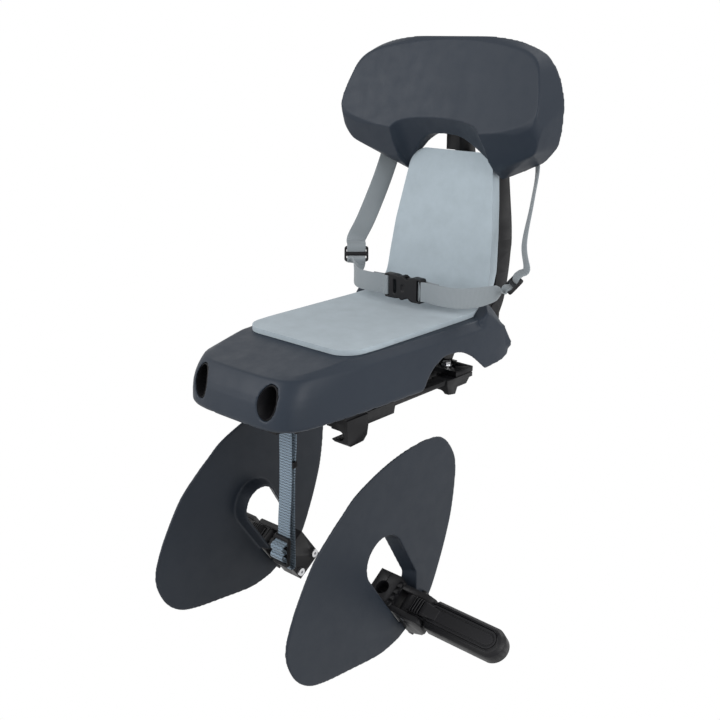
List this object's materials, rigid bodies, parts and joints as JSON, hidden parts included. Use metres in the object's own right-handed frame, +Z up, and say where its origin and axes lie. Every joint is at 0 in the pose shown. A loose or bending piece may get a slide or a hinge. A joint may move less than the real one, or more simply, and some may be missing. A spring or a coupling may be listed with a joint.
{
  "type": "rear child bike seat",
  "caption": "Rear child bicycle seat with foam pad, folding backrest, headrest, webbing harness, carrier clamp rails, safety strap and spoke guards with folding footrests.",
  "frame": {"origin": "on the flat underside of the carrier frame, in the middle plane of the seat, under the middle of the seat pad", "axes": "X across the bike, -Y to the front of the seat, Z up"},
  "size_m": [0.51, 0.4413, 0.6825],
  "materials": {
    "shell": "satin moulded plastic, dark blue grey",
    "guard": "satin moulded plastic, dark blue grey",
    "black": "moulded plastic with a fine grain, black",
    "tread": "matt, black",
    "pad": "closed-cell foam with a fine skin, light grey",
    "webbing": "woven webbing, grey",
    "tether": "woven webbing with a coarse rib, blue grey",
    "steel": "zinc plated"
  },
  "bodies": {
    "seat": {"seat_shell": "shell", "seat_pad": "pad", "pad_bend": "pad", "shell_screws": "steel", "carrier_frame": "black", "frame_screws": "steel", "hinge_rod": "steel", "hinge_caps": "black", "glide_right": "black", "glide_left": "black", "lap_strap_right": "webbing", "lap_strap_left": "webbing", "buckle_socket": "black", "buckle_plug": "black", "safety_strap": "tether", "safety_buckle": "black", "spoke_guard_right": "guard", "spoke_guard_left": "guard", "footrest_bracket_right": "black", "footrest_bracket_left": "black", "stay_clamp_right": "black", "stay_clamp_left": "black", "clamp_bolts_right": "steel", "clamp_bolts_left": "steel", "guard_screws_right": "steel", "guard_screws_left": "steel", "footrest_pin_right": "steel", "footrest_pin_left": "steel"},
    "backrest": {"back_frame": "black", "back_pad": "pad", "headrest_shell": "shell", "headrest_screws": "steel", "shoulder_strap_right": "webbing", "shoulder_strap_left": "webbing"},
    "rail_right": {"clamp_rail_right": "black", "rail_bolts_right": "steel"},
    "rail_left": {"clamp_rail_left": "black", "rail_bolts_left": "steel"},
    "footrest_right": {"footrest_arm_right": "black", "tread_right": "tread"},
    "footrest_left": {"footrest_arm_left": "black", "tread_left": "tread"}
  },
  "joints": [
    {"name": "backrest_fold", "type": "hinge", "parent": "seat", "child": "backrest", "pos_m": [0, 0.152, 0.088], "axis": [1, 0, 0], "range_deg": [0, 72], "deforming": ["pad_bend", "shoulder_strap_right", "shoulder_strap_left", "lap_strap_right", "lap_strap_left", "glide_right", "glide_left", "buckle_socket", "buckle_plug"]},
    {"name": "rail_right_slide", "type": "slide", "parent": "seat", "child": "rail_right", "axis": [1, 0, 0], "range_m": [-0.008, 0.008]},
    {"name": "rail_left_slide", "type": "slide", "parent": "seat", "child": "rail_left", "axis": [-1, 0, 0], "range_m": [-0.008, 0.008]},
    {"name": "footrest_right_fold", "type": "hinge", "parent": "seat", "child": "footrest_right", "pos_m": [0.121, -0.04385, -0.22364], "axis": [0, -0.8192, -0.5736], "range_deg": [0, 80]},
    {"name": "footrest_left_fold", "type": "hinge", "parent": "seat", "child": "footrest_left", "pos_m": [-0.121, -0.04385, -0.22364], "axis": [0, 0.8192, 0.5736], "range_deg": [0, 80]}
  ]
}
